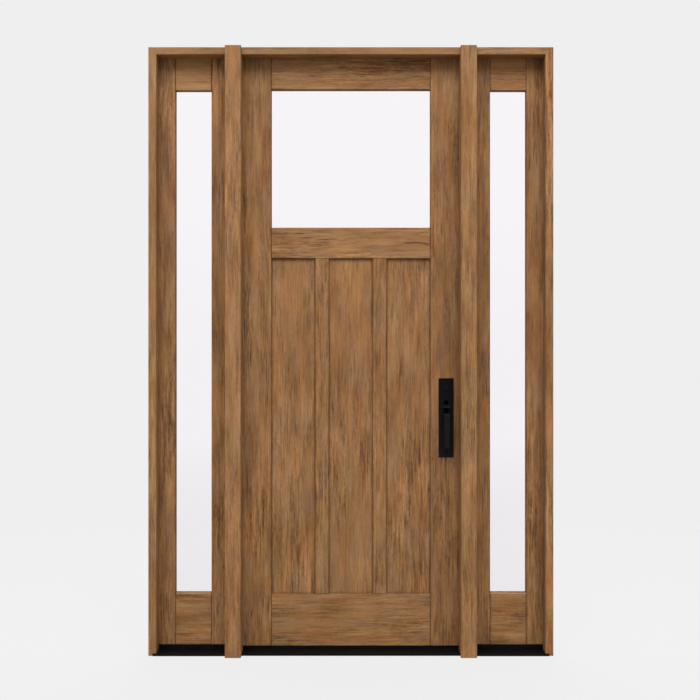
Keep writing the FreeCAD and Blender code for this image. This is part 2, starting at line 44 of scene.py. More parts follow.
def shade(red, green, blue):            # screen values from 0 to 255
    def straight(value):
        value /= 255
        return value / 12.92 if value <= 0.04045 else ((value + 0.055) / 1.055) ** 2.4
    return (straight(red), straight(green), straight(blue), 1.0)


def feed(tree, node, inputs):           # links a socket that it is given, and sets any other value
    for socket, value in inputs.items():
        if isinstance(value, bpy.types.NodeSocket):
            tree.links.new(value, node.inputs[socket])
        else:
            node.inputs[socket].default_value = value


def addNode(tree, kind, inputs=None, **settings):
    node = tree.nodes.new(kind)
    for name, value in settings.items():
        setattr(node, name, value)
    feed(tree, node, inputs or {})
    return node


def ramp(tree, value, low, high, toLow=0.0, toHigh=1.0):
    node = addNode(tree, "ShaderNodeMapRange", {"Value": value, "From Min": low, "From Max": high,
                   "To Min": toLow, "To Max": toHigh})
    return node.outputs[0]


def combine(tree, operation, first, second):
    return addNode(tree, "ShaderNodeMath", {0: first, 1: second}, operation=operation).outputs[0]


def combineVectors(tree, operation, first, second):
    return addNode(tree, "ShaderNodeVectorMath", {0: first, 1: second}, operation=operation).outputs[0]


def blendColour(tree, factor, first, second, mode="MIX"):
    node = addNode(tree, "ShaderNodeMix", {"Factor": factor, "A": first, "B": second}, data_type="RGBA",
                   blend_type=mode)
    return node.outputs["Result"]


# camera, floor and lights

cameraSettings = {
    "eye": (-0.0035, -5.358, 1.2463),   # at half the door's height, square to it
    "lens": 66.90,
    "sensor": 36.0,
}

studio = {
    "background": (239, 239, 239),
    "aboveGlass": (248, 246, 249),      # what shows through clear glass, well above the horizon
    "behindGlass": (244, 242, 245),     # at the horizon
    "nearGlass": (232, 230, 232),       # and on the floor just behind it
    "domeTop": 0.60,                    # strength of the sky dome straight up
    "domeSide": 0.72,                   # at the horizon
    "domeBottom": 0.13,                 # from below
    "floorSize": 400.0,
    "floorMatte": 0.75,                 # how pale the floor is where it is seen
    "floorBounce": 0.30,                # and for the light that it gives back to the object
    "floorShade": 0.09,                 # how much of the shadow shows on the floor
    "fadeFrom": 1.5,                    # metres from the door where the floor's shading starts to fade
    "fadeTo": 4.5,
    "glassFade": 12.0,                  # metres over which the floor behind the glass lightens
    "glassRise": 0.12,                  # how far above the horizon the backdrop goes on lightening
}

lamps = [                               # name, place, aim, width, height, power in watts
    ("front", (0.0, -5.6, 8.1), (0.0, 0.0, 1.2), 8.0, 3.8, 580.0),
    ("back", (0.0, 5.6, 7.6), (0.0, 0.0, 1.2), 6.0, 3.0, 500.0),
]


def sceneryRay(tree):                   # 1 for the rays that may see the bare background
    path = addNode(tree, "ShaderNodeLightPath")
    first = combine(tree, "MAXIMUM", path.outputs["Is Camera Ray"], path.outputs["Is Glossy Ray"])
    return path, combine(tree, "MAXIMUM", first, path.outputs["Is Transmission Ray"])


def backdropColour(tree, path, share, near, far):   # near and far are what shows through the glass
    through = blendColour(tree, share, shade(*studio[near]), shade(*studio[far]))
    return blendColour(tree, path.outputs["Is Transmission Ray"], shade(*studio["background"]), through)


def makeCamera():
    bpy.ops.object.camera_add(location=cameraSettings["eye"], rotation=(math.radians(90), 0, 0))
    camera = bpy.context.object
    camera.name = "photoCamera"
    camera.data.lens = cameraSettings["lens"]
    camera.data.sensor_width = cameraSettings["sensor"]
    bpy.context.scene.camera = camera


def makeWorld():
    world = bpy.data.worlds.new("studioDome")
    bpy.context.scene.world = world
    world.use_nodes = True
    tree = world.node_tree
    tree.nodes.clear()
    direction = addNode(tree, "ShaderNodeTexCoord").outputs["Generated"]
    height = addNode(tree, "ShaderNodeSeparateXYZ", {"Vector": direction}).outputs["Z"]
    above = ramp(tree, height, 0.0, 1.0, studio["domeSide"], studio["domeTop"])
    below = ramp(tree, height, -1.0, 0.0, studio["domeBottom"], studio["domeSide"])
    isUp = combine(tree, "GREATER_THAN", height, 0.0)
    strength = addNode(tree, "ShaderNodeMix", {"Factor": isUp, "A": below, "B": above},
                       data_type="FLOAT").outputs[0]
    dome = addNode(tree, "ShaderNodeBackground", {"Color": (1, 1, 1, 1), "Strength": strength})
    path, scenery = sceneryRay(tree)
    raised = ramp(tree, height, 0.0, studio["glassRise"])
    tint = backdropColour(tree, path, raised, "behindGlass", "aboveGlass")
    seen = addNode(tree, "ShaderNodeBackground", {"Color": tint, "Strength": 1.0})
    mixed = addNode(tree, "ShaderNodeMixShader", {0: scenery, 1: dome.outputs[0], 2: seen.outputs[0]})
    addNode(tree, "ShaderNodeOutputWorld", {"Surface": mixed.outputs[0]})


def makeFloor():
    bpy.ops.mesh.primitive_plane_add(size=studio["floorSize"], location=(0, 0, 0))
    floor = bpy.context.object
    floor.name = "studioFloor"
    material = bpy.data.materials.new("paleFloor")
    material.use_nodes = True
    tree = material.node_tree
    tree.nodes.clear()
    path, scenery = sceneryRay(tree)
    place = addNode(tree, "ShaderNodeTexCoord").outputs["Object"]
    away = addNode(tree, "ShaderNodeVectorMath", {0: place}, operation="LENGTH").outputs["Value"]
    albedo = ramp(tree, scenery, 0.0, 1.0, studio["floorBounce"], studio["floorMatte"])
    matte = addNode(tree, "ShaderNodeBsdfDiffuse", {"Color": albedo})
    distance = ramp(tree, away, 0.0, studio["glassFade"])
    tint = backdropColour(tree, path, distance, "nearGlass", "behindGlass")
    glow = addNode(tree, "ShaderNodeEmission", {"Color": tint, "Strength": 1.0})
    plain = ramp(tree, away, studio["fadeFrom"], studio["fadeTo"], 1.0 - studio["floorShade"], 1.0)
    share = combine(tree, "MULTIPLY", scenery, plain)
    mixed = addNode(tree, "ShaderNodeMixShader", {0: share, 1: matte.outputs[0], 2: glow.outputs[0]})
    addNode(tree, "ShaderNodeOutputMaterial", {"Surface": mixed.outputs[0]})
    floor.data.materials.append(material)


def makeLamps():
    for name, place, aim, width, height, power in lamps:
        bpy.ops.object.light_add(type="AREA", location=place)
        lamp = bpy.context.object
        lamp.name = name
        lamp.data.shape = "RECTANGLE"
        lamp.data.size = width
        lamp.data.size_y = height
        lamp.data.energy = power
        lamp.rotation_mode = "QUATERNION"
        lamp.rotation_quaternion = (Vector(aim) - Vector(place)).to_track_quat("-Z", "Y")


bpy.ops.object.select_all(action="DESELECT")
makeCamera()
makeWorld()
makeFloor()
makeLamps()
bpy.context.scene.view_settings.view_transform = "Standard"
print("studio ready")


# shared effects, each a node group that the finishes place with their own values
# a layer of noise is given as its features per metre along X, Y and Z, and its octaves
# a ramp is given as the two values it runs between, and what it makes of them where that isn't 0 and 1

noiseRoughness = 0.55                   # how much each finer octave counts

# what most effects put out
surface = [("Color", "Color"), ("Roughness", "Float"), ("Height", "Float")]


def newGroup(name, inputs, outputs):
    group = bpy.data.node_groups.new(name, "ShaderNodeTree")
    for label, kind, value in inputs:
        socket = group.interface.new_socket(name=label, in_out="INPUT", socket_type="NodeSocket" + kind)
        if value is not None:
            socket.default_value = value
    for label, kind in outputs:
        group.interface.new_socket(name=label, in_out="OUTPUT", socket_type="NodeSocket" + kind)
    return group, addNode(group, "NodeGroupInput")


def finishGroup(group, outputs):
    addNode(group, "NodeGroupOutput", outputs)
    return group


def noiseNode(tree, vector, layer):
    scale, octaves = layer
    mapping = addNode(tree, "ShaderNodeMapping", {"Vector": vector, "Scale": scale})
    return addNode(tree, "ShaderNodeTexNoise", {"Vector": mapping.outputs[0], "Scale": 1.0,
                   "Detail": octaves, "Roughness": noiseRoughness})


def noise(tree, vector, layer):
    return noiseNode(tree, vector, layer).outputs[0]


grain = {                               # Z runs along the grain
    "dark": (107, 70, 40),
    "middle": (155, 112, 71),
    "light": (186, 139, 92),
    "fleck": (78, 58, 47),
    "waver": 0.008,                     # how far a streak wanders sideways, metres
    "wander": ((3.0, 3.0, 1.3), 2.0),   # the slow noise that it follows
    "layers": {
        "band": ((13.0, 13.0, 2.6), 1.0),           # broad tone bands
        "cloud": ((32.0, 32.0, 7.0), 1.0),          # soft figure
        "streakLong": ((96.0, 96.0, 4.5), 1.0),
        "streak": ((104.0, 104.0, 14.0), 1.0),
        "fibreLong": ((230.0, 230.0, 6.0), 2.0),
        "fibre": ((215.0, 215.0, 19.0), 2.0),
        "mottle": ((190.0, 190.0, 60.0), 1.0),      # short breaks in the streaks
        "pore": ((1100.0, 1100.0, 70.0), 2.0),
        "comb": ((9.0, 9.0, 2.2), 2.0),             # patches where the streaks stand out
        "fleckPatch": ((9.0, 9.0, 2.4), 2.0),
        "fleck": ((190.0, 190.0, 11.0), 3.0),       # dark weathered flecks
        "hue": ((22.0, 22.0, 5.0), 1.0),
        "honey": ((26.0, 26.0, 6.5), 1.0),
    },
    "fineWeights": {                    # how much each fine layer counts in the tone, before the comb
        "streakLong": 0.50,
        "streak": 0.42,
        "fibreLong": 0.56,
        "fibre": 0.56,
        "mottle": 0.36,
    },
    "broadWeights": {"band": 0.68, "cloud": 0.66},
    "combRamp": (0.45, 0.68, 0.75, 1.9),
    "poreRamp": (0.58, 0.72),
    "patchRamp": (0.52, 0.68),
    "fleckRamp": (0.52, 0.64),
    "tintRamp": (0.32, 0.68),
    "tints": {                          # each layer of tint drifts between two shades, multiplied in
        "hue": ((1.03, 0.955, 0.84, 1), (0.97, 1.045, 1.16, 1)),        # warm and cool
        "honey": ((0.985, 1.01, 0.90, 1), (1.015, 0.99, 1.10, 1)),      # honey and grey
    },
    "poreShade": 0.35,                  # how dark the pores are
    "roughness": (0.66, 0.50),          # of dark and of pale grain
    "poreRoughness": 0.12,
    "relief": {"fibre": 0.6, "streak": 0.4, "pore": 0.5, "fleck": 0.3},
}


def weigh(tree, layers, weights, total):    # adds by weight how far each layer is off its middle
    for name, weight in weights.items():
        off = combine(tree, "SUBTRACT", layers[name], 0.5)
        total = combine(tree, "ADD", combine(tree, "MULTIPLY", off, weight), total)
    return total


def makeGrainGroup():
    group, given = newGroup("timberGrain", [
        ("Vector", "Vector", None),
        ("Dark", "Color", shade(*grain["dark"])),
        ("Middle", "Color", shade(*grain["middle"])),
        ("Light", "Color", shade(*grain["light"])),
        ("Fleck", "Color", shade(*grain["fleck"])),
        ("Contrast", "Float", 1.0),
        ("Tone", "Float", 0.0),
        ("Flecks", "Float", 0.75),
    ], surface)
    vector = given.outputs["Vector"]
    wander = noiseNode(group, vector, grain["wander"]).outputs["Color"]
    centred = combineVectors(group, "SUBTRACT", wander, (0.5, 0.5, 0.5))
    sideways = combineVectors(group, "MULTIPLY", centred, (grain["waver"], grain["waver"], 0.0))
    wavy = combineVectors(group, "ADD", vector, sideways)
    layers = {name: noise(group, wavy, layer) for name, layer in grain["layers"].items()}

    comb = ramp(group, layers["comb"], *grain["combRamp"])
    tone = combine(group, "MULTIPLY", weigh(group, layers, grain["fineWeights"], 0.0), comb)
    tone = weigh(group, layers, grain["broadWeights"], tone)
    tone = combine(group, "ADD", combine(group, "MULTIPLY", tone, given.outputs["Contrast"]), 0.5)
    tone = combine(group, "ADD", tone, given.outputs["Tone"])
    toMiddle, toLight = ramp(group, tone, 0.0, 0.5), ramp(group, tone, 0.5, 1.0)
    full = blendColour(group, toMiddle, given.outputs["Dark"], given.outputs["Middle"])
    full = blendColour(group, toLight, full, given.outputs["Light"])
    for name, (first, second) in grain["tints"].items():
        tint = blendColour(group, ramp(group, layers[name], *grain["tintRamp"]), first, second)
        full = blendColour(group, 1.0, full, tint, "MULTIPLY")

    patch = ramp(group, layers["fleckPatch"], *grain["patchRamp"])
    fleck = ramp(group, layers["fleck"], *grain["fleckRamp"])
    fleck = combine(group, "MULTIPLY", combine(group, "MULTIPLY", fleck, patch), given.outputs["Flecks"])
    pore = ramp(group, layers["pore"], *grain["poreRamp"])
    poreShade = combine(group, "MULTIPLY", pore, grain["poreShade"])
    for share in (fleck, poreShade):
        full = blendColour(group, share, full, given.outputs["Fleck"])

    roughness = combine(group, "ADD", ramp(group, tone, 0.0, 1.0, *grain["roughness"]),
                        combine(group, "MULTIPLY", pore, grain["poreRoughness"]))
    relief = grain["relief"]
    height = combine(group, "ADD", combine(group, "MULTIPLY", layers["fibre"], relief["fibre"]),
                     combine(group, "MULTIPLY", layers["streak"], relief["streak"]))
    for share, depth in ((pore, relief["pore"]), (fleck, relief["fleck"])):
        height = combine(group, "SUBTRACT", height, combine(group, "MULTIPLY", share, depth))
    return finishGroup(group, {"Color": full, "Roughness": roughness, "Height": height})


unevenEdge = {
    "breaks": ((60.0, 60.0, 60.0), 3.0),
    "swing": 2.0,                       # widths that the line wanders over
}


def makeEdgeGroup():                    # how near a point lies to the edges of its board
    group, given = newGroup("boardEdge", [
        ("Vector", "Vector", None),
        ("Low", "Vector", (0.0, 0.0, 0.0)),
        ("High", "Vector", (1.0, 1.0, 1.0)),
        ("Width", "Vector", (0.004, 0.004, 0.004)),
    ], [("Mask", "Float")])
    vector = given.outputs["Vector"]
    fromLow = combineVectors(group, "SUBTRACT", vector, given.outputs["Low"])
    fromHigh = combineVectors(group, "SUBTRACT", given.outputs["High"], vector)
    nearest = combineVectors(group, "MINIMUM", fromLow, fromHigh)
    shares = combineVectors(group, "DIVIDE", nearest, given.outputs["Width"])
    x, y, z = addNode(group, "ShaderNodeSeparateXYZ", {"Vector": shares}).outputs
    # on a face one distance is nearly nought, so the second smallest is the way to the edge
    low = combine(group, "MINIMUM", combine(group, "MAXIMUM", x, y), combine(group, "MAXIMUM", y, z))
    second = combine(group, "MINIMUM", low, combine(group, "MAXIMUM", x, z))
    uneven = combine(group, "MULTIPLY", noise(group, vector, unevenEdge["breaks"]), unevenEdge["swing"])
    mask = ramp(group, combine(group, "DIVIDE", second, uneven), 0.0, 1.0, 1.0, 0.0)
    return finishGroup(group, {"Mask": mask})


bakedCoat = {
    "cloud": ((38.0, 38.0, 38.0), 4.0),
    "peel": ((1500.0, 1500.0, 1500.0), 2.0),
    "wornRamp": (0.35, 0.75),
    "glossRamp": (0.3, 0.7, -0.05, 0.09),
}


def makeCoatGroup():                    # fine orange peel, with small shifts of tone and gloss
    group, given = newGroup("bakedCoat", [
        ("Vector", "Vector", None),
        ("Base", "Color", shade(20, 19, 19)),
        ("Worn", "Color", shade(34, 32, 31)),
        ("Gloss", "Float", 0.42),
    ], surface)
    cloud = noise(group, given.outputs["Vector"], bakedCoat["cloud"])
    peel = noise(group, given.outputs["Vector"], bakedCoat["peel"])
    worn = ramp(group, cloud, *bakedCoat["wornRamp"])
    colour = blendColour(group, worn, given.outputs["Base"], given.outputs["Worn"])
    gloss = ramp(group, cloud, *bakedCoat["glossRamp"])
    roughness = combine(group, "ADD", given.outputs["Gloss"], gloss)
    return finishGroup(group, {"Color": colour, "Roughness": roughness, "Height": peel})


brushedLines = {
    "lines": ((2200.0, 2200.0, 35.0), 3.0),
    "cloud": ((90.0, 90.0, 60.0), 3.0),
    "dullRamp": (0.35, 0.7),
    "roughRamp": (0.3, 0.7, 0.28, 0.46),
}


def makeBrushGroup():                   # steel brushed along one way
    group, given = newGroup("brushedLines", [
        ("Vector", "Vector", None),
        ("Base", "Color", shade(186, 184, 180)),
        ("Dull", "Color", shade(140, 138, 134)),
    ], surface)
    lines = noise(group, given.outputs["Vector"], brushedLines["lines"])
    cloud = noise(group, given.outputs["Vector"], brushedLines["cloud"])
    dull = ramp(group, cloud, *brushedLines["dullRamp"])
    colour = blendColour(group, dull, given.outputs["Base"], given.outputs["Dull"])
    roughness = ramp(group, lines, *brushedLines["roughRamp"])
    return finishGroup(group, {"Color": colour, "Roughness": roughness, "Height": lines})


softCells = {
    "dust": ((70.0, 70.0, 70.0), 4.0),
    "dustRamp": (0.4, 0.75),
    "roughRamp": (0.3, 0.7, 0.72, 0.92),
}


def makeCellGroup():                    # foam and rubber: small cells
    group, given = newGroup("softCells", [
        ("Vector", "Vector", None),
        ("Base", "Color", shade(52, 49, 46)),
        ("Dusty", "Color", shade(78, 73, 67)),
        ("CellsPerMetre", "Float", 900.0),
    ], surface)
    cells = addNode(group, "ShaderNodeTexVoronoi", {"Vector": given.outputs["Vector"],
                    "Scale": given.outputs["CellsPerMetre"]}).outputs["Distance"]
    dust = noise(group, given.outputs["Vector"], softCells["dust"])
    share = ramp(group, dust, *softCells["dustRamp"])
    colour = blendColour(group, share, given.outputs["Base"], given.outputs["Dusty"])
    roughness = ramp(group, dust, *softCells["roughRamp"])
    return finishGroup(group, {"Color": colour, "Roughness": roughness, "Height": cells})


glassFilm = {
    "film": ((6.0, 6.0, 4.0), 5.0),
    "filmRamp": (0.45, 0.75, 0.0, 0.03),
    "wave": ((2.2, 2.2, 1.1), 1.0),
}


def makeFilmGroup():                    # a faint film on glass, and its slow waves
    group, given = newGroup("glassFilm", [
        ("Vector", "Vector", None),
    ], [("Roughness", "Float"), ("Height", "Float")])
    film = ramp(group, noise(group, given.outputs["Vector"], glassFilm["film"]), *glassFilm["filmRamp"])
    wave = noise(group, given.outputs["Vector"], glassFilm["wave"])
    return finishGroup(group, {"Roughness": film, "Height": wave})


effects = {
    "grain": makeGrainGroup(),
    "edge": makeEdgeGroup(),
    "coat": makeCoatGroup(),
    "brush": makeBrushGroup(),
    "cells": makeCellGroup(),
    "film": makeFilmGroup(),
}
print("effects ready:", ", ".join(effects))


# finishes

def newFinish(name):
    material = bpy.data.materials.new(name)
    material.use_nodes = True
    tree = material.node_tree
    shader = tree.nodes["Principled BSDF"]
    place = addNode(tree, "ShaderNodeTexCoord").outputs["Object"]
    return material, tree, shader, place


def placeEffect(tree, effect, **inputs):
    return addNode(tree, "ShaderNodeGroup", inputs, node_tree=effects[effect])


def edgeShare(tree, place, low, high, reach, strength):     # nought from a reach away from the edges
    edge = placeEffect(tree, "edge", Vector=place, Low=tuple(low), High=tuple(high), Width=reach)
    return combine(tree, "MULTIPLY", edge.outputs["Mask"], strength)


def addBump(tree, shader, height, distance, strength=1.0):
    bump = addNode(tree, "ShaderNodeBump", {"Height": height, "Distance": distance,
                   "Strength": strength})
    feed(tree, shader, {"Normal": bump.outputs["Normal"]})


timber = {
    "bump": 0.0006,
    "shine": 0.20,                      # level of the satin stain's reflection
    "edgeStainAndShade": (74, 48, 28),          # stain along the arrises and joints, with painted shade in the joints and recesses
    "seed": 41,
    "offset": 40.0,                     # metres of grain, either way, that a board is cut from
    "lean": 0.006,                      # how far its grain may lean, radians
    "spin": 6.28,                       # and turn about its length
    "contrast": (0.85, 1.15),
    "headContrast": 0.6,                # the heads are plainer
    "flecks": (0.55, 1.0),
}

flatBoards = ("_head", "_rail")         # these lie on their side, so their grain runs along X
panelTongue = 0.011                     # how far a panel reaches into its groove

edgeStainAndShadeKinds = (                           # kind of board, reach of its edge stain and painted shade along X, Y, Z, its share
    ("_stile", (0.0031, 0.0030, 0.0030), 0.95),
    ("_rail", (0.0031, 0.0030, 0.0020), 0.95),
    ("_head", (0.0025, 0.0025, 0.0015), 0.10),
    ("_mullion_", (0.0045, 0.0040, 0.0020), 0.60),
    # on the sunken panels the wide band is mostly painted shade, where the rails and stiles shadow them
    ("_panel_", (0.0080, 0.0040, 0.0090), 0.50),
    ("", (0.0025, 0.0025, 0.0015), 0.35),           # all others
)

paintedJambShade = {                         # painted shade of the jamb: which way along X a stile meets its jamb, how dark that edge is painted
    "door_hinge_stile": (-1, 0.06),
    "door_lock_stile": (1, 0.28),
    "left_sidelight_outer_stile": (-1, 0.28),
    "left_sidelight_inner_stile": (1, 0.06),
    "right_sidelight_inner_stile": (-1, 0.26),
    "right_sidelight_outer_stile": (1, 0.10),
}
paintedJambShadeReach = (0.032, 0.004, 1.0)
outOfReach = 1.0                        # metres that the stile's other edges are moved off for the painted shade

boardTone = {                           # boards cut from darker or paler timber than the rest
    "door_hinge_stile": -0.03,
    "door_lock_stile": -0.03,
    "door_top_rail": -0.12,
    "door_mid_rail": 0.05,
    "door_bottom_rail": -0.02,
    "door_mullion_1": -0.06,
    "door_mullion_2": -0.01,
    "door_panel_3": 0.02,
    "left_sidelight_outer_stile": -0.04,
    "left_sidelight_top_rail": 0.11,
    "left_sidelight_head": 0.06,
    "left_mull_post": 0.05,
    "door_head": -0.02,
    "right_mull_post": 0.03,
    "right_sidelight_inner_stile": -0.05,
    "right_sidelight_outer_stile": -0.07,
    "right_sidelight_top_rail": -0.01,
    "right_sidelight_bottom_rail": 0.04,
    "right_sidelight_head": -0.04,
}


def shownBox(name):                     # the part of a board that shows, without its tenons and tongues
    low, high = (Vector(corner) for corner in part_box(name))
    if name.endswith("_rail"):
        if name.startswith("door"):
            stiles = ("door_hinge_stile", "door_lock_stile")
        else:
            leaf = name[:name.index("_")] + "_sidelight_"
            stiles = (leaf + "inner_stile", leaf + "outer_stile")
        lower, higher = sorted((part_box(stile) for stile in stiles), key=lambda corners: corners[0][0])
        low.x, high.x = lower[1][0], higher[0][0]
    elif "_mullion_" in name:
        low.z, high.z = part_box("door_bottom_rail")[1][2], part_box("door_mid_rail")[0][2]
    elif "_panel_" in name:
        low += Vector((panelTongue, 0, panelTongue))
        high -= Vector((panelTongue, 0, panelTongue))
    return low, high


def boardFinish(node, draw):
    material, tree, shader, place = newFinish("timber_" + node.name)
    offset = tuple(draw.uniform(-timber["offset"], timber["offset"]) for axis in range(3))
    lean = draw.uniform(-timber["lean"], timber["lean"])
    spin = draw.uniform(0.0, timber["spin"])            # a lying board draws it too, and stays flat
    turn = (lean, math.radians(90), 0.0) if node.name.endswith(flatBoards) else (lean, 0.0, spin)
    along = addNode(tree, "ShaderNodeMapping", {"Vector": place, "Location": offset, "Rotation": turn})
    contrast = draw.uniform(*timber["contrast"])
    if node.name.endswith("_head"):
        contrast *= timber["headContrast"]
    wood = placeEffect(tree, "grain", Vector=along.outputs[0], Contrast=contrast,
                       Flecks=draw.uniform(*timber["flecks"]), Tone=boardTone.get(node.name, 0.0))
    # the edge colour is stain and painted shade, along the arrises and in the joints
    stainAndShade = shade(*timber["edgeStainAndShade"])
    low, high = shownBox(node.name)
    reach, strength = next(row[1:] for row in edgeStainAndShadeKinds if row[0] in node.name)
    share = edgeShare(tree, place, low, high, reach, strength)
    colour = blendColour(tree, share, wood.outputs["Color"], stainAndShade)
    # painted shade of the jamb, along the stile's edge that meets it
    if node.name in paintedJambShade:
        side, strength = paintedJambShade[node.name]
        across, up = Vector((outOfReach * side, 0.0, 0.0)), Vector((0.0, 0.0, outOfReach))
        low, high = low - up, high + up
        low, high = (low - across, high) if side > 0 else (low, high - across)
        share = edgeShare(tree, place, low, high, paintedJambShadeReach, strength)
        colour = blendColour(tree, share, colour, stainAndShade)
    feed(tree, shader, {"Base Color": colour, "Roughness": wood.outputs["Roughness"],
                        "Specular IOR Level": timber["shine"]})
    addBump(tree, shader, wood.outputs["Height"], timber["bump"])
    return material


coats = {                               # material, base and worn shade, roughness, shine, orange peel
    "sill": ("bakedBlackSill", (12, 12, 12), (20, 19, 18), 0.45, 0.05, 0.00003),
    "hardware": ("bakedBlackHardware", (11, 10, 10), (18, 17, 16), 0.46, 0.06, 0.00003),
    "outsidePlate": ("bakedBlackOutsidePlate", (8, 8, 8), (14, 13, 13), 0.46, 0.06, 0.00003),
    "insidePlate": ("bakedBlackInsidePlate", (8, 8, 8), (14, 13, 13), 0.46, 0.06, 0.00003),
    # the grip and the paddle are paler copies of the same black coat: painted highlight
    "grip": ("bakedBlackGrip", (22, 19, 19), (31, 27, 26), 0.52, 0.06, 0.00003),
    "paddle": ("rubbedBlackPaddle", (22, 21, 20), (34, 32, 30), 0.40, 0.12, 0.00002),
}

# painted light on the lock plates: a paler rim and a paler foot
paintedPlateLight = {
    "plates": {"outsidePlate": "outside_lock_plate", "insidePlate": "inside_lock_plate"},
    "reach": (0.0030, 0.0020, 0.0030),  # painted highlight along a plate's edges
    "share": 0.8,
    "foot": 0.40,                       # and painted light at its foot, fading upwards
    "colour": (40, 37, 35),
}


def coatFinish(name, base, worn, gloss, shine, peel, plate=None):
    material, tree, shader, place = newFinish(name)
    coat = placeEffect(tree, "coat", Vector=place, Base=shade(*base), Worn=shade(*worn), Gloss=gloss)
    colour = coat.outputs["Color"]
    # painted highlight along the plate's edges, and painted light towards its foot
    if plate:
        low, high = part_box(plate)
        share = edgeShare(tree, place, low, high, paintedPlateLight["reach"], paintedPlateLight["share"])
        height = addNode(tree, "ShaderNodeSeparateXYZ", {"Vector": place}).outputs["Z"]
        foot = ramp(tree, height, low[2], high[2], paintedPlateLight["foot"], 0.0)
        share = combine(tree, "MAXIMUM", share, foot)
        colour = blendColour(tree, share, colour, shade(*paintedPlateLight["colour"]))
    feed(tree, shader, {"Base Color": colour, "Roughness": coat.outputs["Roughness"],
                        "Specular IOR Level": shine})
    addBump(tree, shader, coat.outputs["Height"], peel)
    return material


steelBump = 0.00004


def steelFinish(name):
    material, tree, shader, place = newFinish(name)
    brush = placeEffect(tree, "brush", Vector=place)
    feed(tree, shader, {"Base Color": brush.outputs["Color"], "Roughness": brush.outputs["Roughness"],
                        "Metallic": 1.0})
    addBump(tree, shader, brush.outputs["Height"], steelBump)
    return material


softKinds = {                           # material, base and dusty shade, cells per metre, their depth
    "foam": ("blackFoam", (40, 38, 36), (60, 57, 53), 900.0, 0.0003),
    "rubber": ("sealRubber", (28, 27, 27), (50, 48, 45), 2600.0, 0.00005),
}
softShine = 0.25


def softFinish(name, base, dusty, cells, depth):
    material, tree, shader, place = newFinish(name)
    foam = placeEffect(tree, "cells", Vector=place, Base=shade(*base), Dusty=shade(*dusty),
                       CellsPerMetre=cells)
    feed(tree, shader, {"Base Color": foam.outputs["Color"], "Roughness": foam.outputs["Roughness"],
                        "Specular IOR Level": softShine})
    addBump(tree, shader, foam.outputs["Height"], depth)
    return material


glass = {
    "tint": (0.992, 0.986, 0.988, 1),
    "refraction": 1.5,
    "wave": 0.0004,
    "waveShare": 0.3,
}


def glassFinish(name):
    material, tree, shader, place = newFinish(name)
    film = placeEffect(tree, "film", Vector=place)
    feed(tree, shader, {"Base Color": glass["tint"], "Roughness": film.outputs["Roughness"],
                        "IOR": glass["refraction"], "Transmission Weight": 1.0})
    addBump(tree, shader, film.outputs["Height"], glass["wave"], glass["waveShare"])
    return material


finishes = {key: coatFinish(*values, plate=paintedPlateLight["plates"].get(key)) for key, values in coats.items()}
finishes.update({key: softFinish(*values) for key, values in softKinds.items()})
finishes["steel"] = steelFinish("brushedSteel")
finishes["glass"] = glassFinish("clearFloatGlass")

finishOfSlot = {
    "black_sill": "sill",
    "black_hardware": "hardware",
    "bolt_steel": "steel",
    "weatherstrip": "foam",
    "clear_glass": "glass",
}

finishOfNode = {
    "pull_grip": "grip",
    "thumb_latch": "paddle",
    "outside_lock_plate": "outsidePlate",
    "inside_lock_plate": "insidePlate",
}


def dressNodes():                       # every board gets its own cut of the timber
    draw = random.Random(timber["seed"])
    for name in sorted(nodes):
        node = nodes[name]
        slotName = node.material_slots[0].material.name
        if name in finishOfNode:
            finish = finishes[finishOfNode[name]]
        elif slotName in finishOfSlot:
            finish = finishes[finishOfSlot[slotName]]
        else:
            finish = boardFinish(node, draw)
        for slot in node.material_slots:
            slot.material = finish


dressNodes()
print("finishes ready:", len(bpy.data.materials), "materials")


# small fittings and trim, modelled here and set on the joiner's pieces

smoothAngle = 35.0
slack = 1e-6                            # for picking what lies at a height
level = 0.9                             # how steep a normal is on a face that looks up or down

faceHingeWay = (0, -90, 0)              # turns a model that faces up towards -X
faceLockWay = (0, 90, 0)                # towards +X
faceIndoors = (-90, 0, 0)
faceOutdoors = (90, 0, 0)
faceDown = (180, 0, 0)


def putDown():                          # back to object mode with nothing selected
    if bpy.context.mode != "OBJECT":
        bpy.ops.object.mode_set(mode="OBJECT")
    bpy.ops.object.select_all(action="DESELECT")


def takeUp(piece):
    putDown()
    piece.select_set(True)
    bpy.context.view_layer.objects.active = piece


def settle():                           # the new primitive's place goes into its mesh
    bpy.ops.object.transform_apply(location=True, rotation=True, scale=True)
    return bpy.context.object


def pick(piece, test, kind="FACE"):     # selects faces or edges by where they lie
    bpy.ops.mesh.select_mode(type=kind)
    bpy.ops.mesh.select_all(action="DESELECT")
    mesh = bmesh.from_edit_mesh(piece.data)
    for element in (mesh.faces if kind == "FACE" else mesh.edges):
        if test(element):
            element.select_set(True)
    bmesh.update_edit_mesh(piece.data)


def looksUp(face):
    return face.normal.z > level


def looksDown(face):
    return face.normal.z < -level


def newBlock(low, high):
    putDown()
    middle = [(a + b) / 2 for a, b in zip(low, high)]
    size = [b - a for a, b in zip(low, high)]
    bpy.ops.mesh.primitive_cube_add(size=1.0, location=middle, scale=size)
    return settle()


def newDisc(radius, rise, corners):     # stands on the origin, face up
    putDown()
    bpy.ops.mesh.primitive_cylinder_add(vertices=corners, radius=radius, depth=rise,
                                        location=(0, 0, rise / 2))
    return settle()


def easeRim(piece, height, width, steps):
    bpy.ops.object.mode_set(mode="EDIT")
    pick(piece, lambda edge: all(corner.co.z > height - slack for corner in edge.verts), "EDGE")
    bpy.ops.mesh.bevel(offset=width, segments=steps, affect="EDGES")
    putDown()


def discard(model):
    takeUp(model)
    bpy.ops.object.delete()


def cutAway(piece, tool):
    takeUp(piece)
    bpy.ops.object.modifier_add(type="BOOLEAN")
    cut = piece.modifiers[-1]
    cut.operation = "DIFFERENCE"
    cut.solver = "EXACT"
    cut.object = tool
    bpy.ops.object.modifier_apply(modifier=cut.name)
    discard(tool)


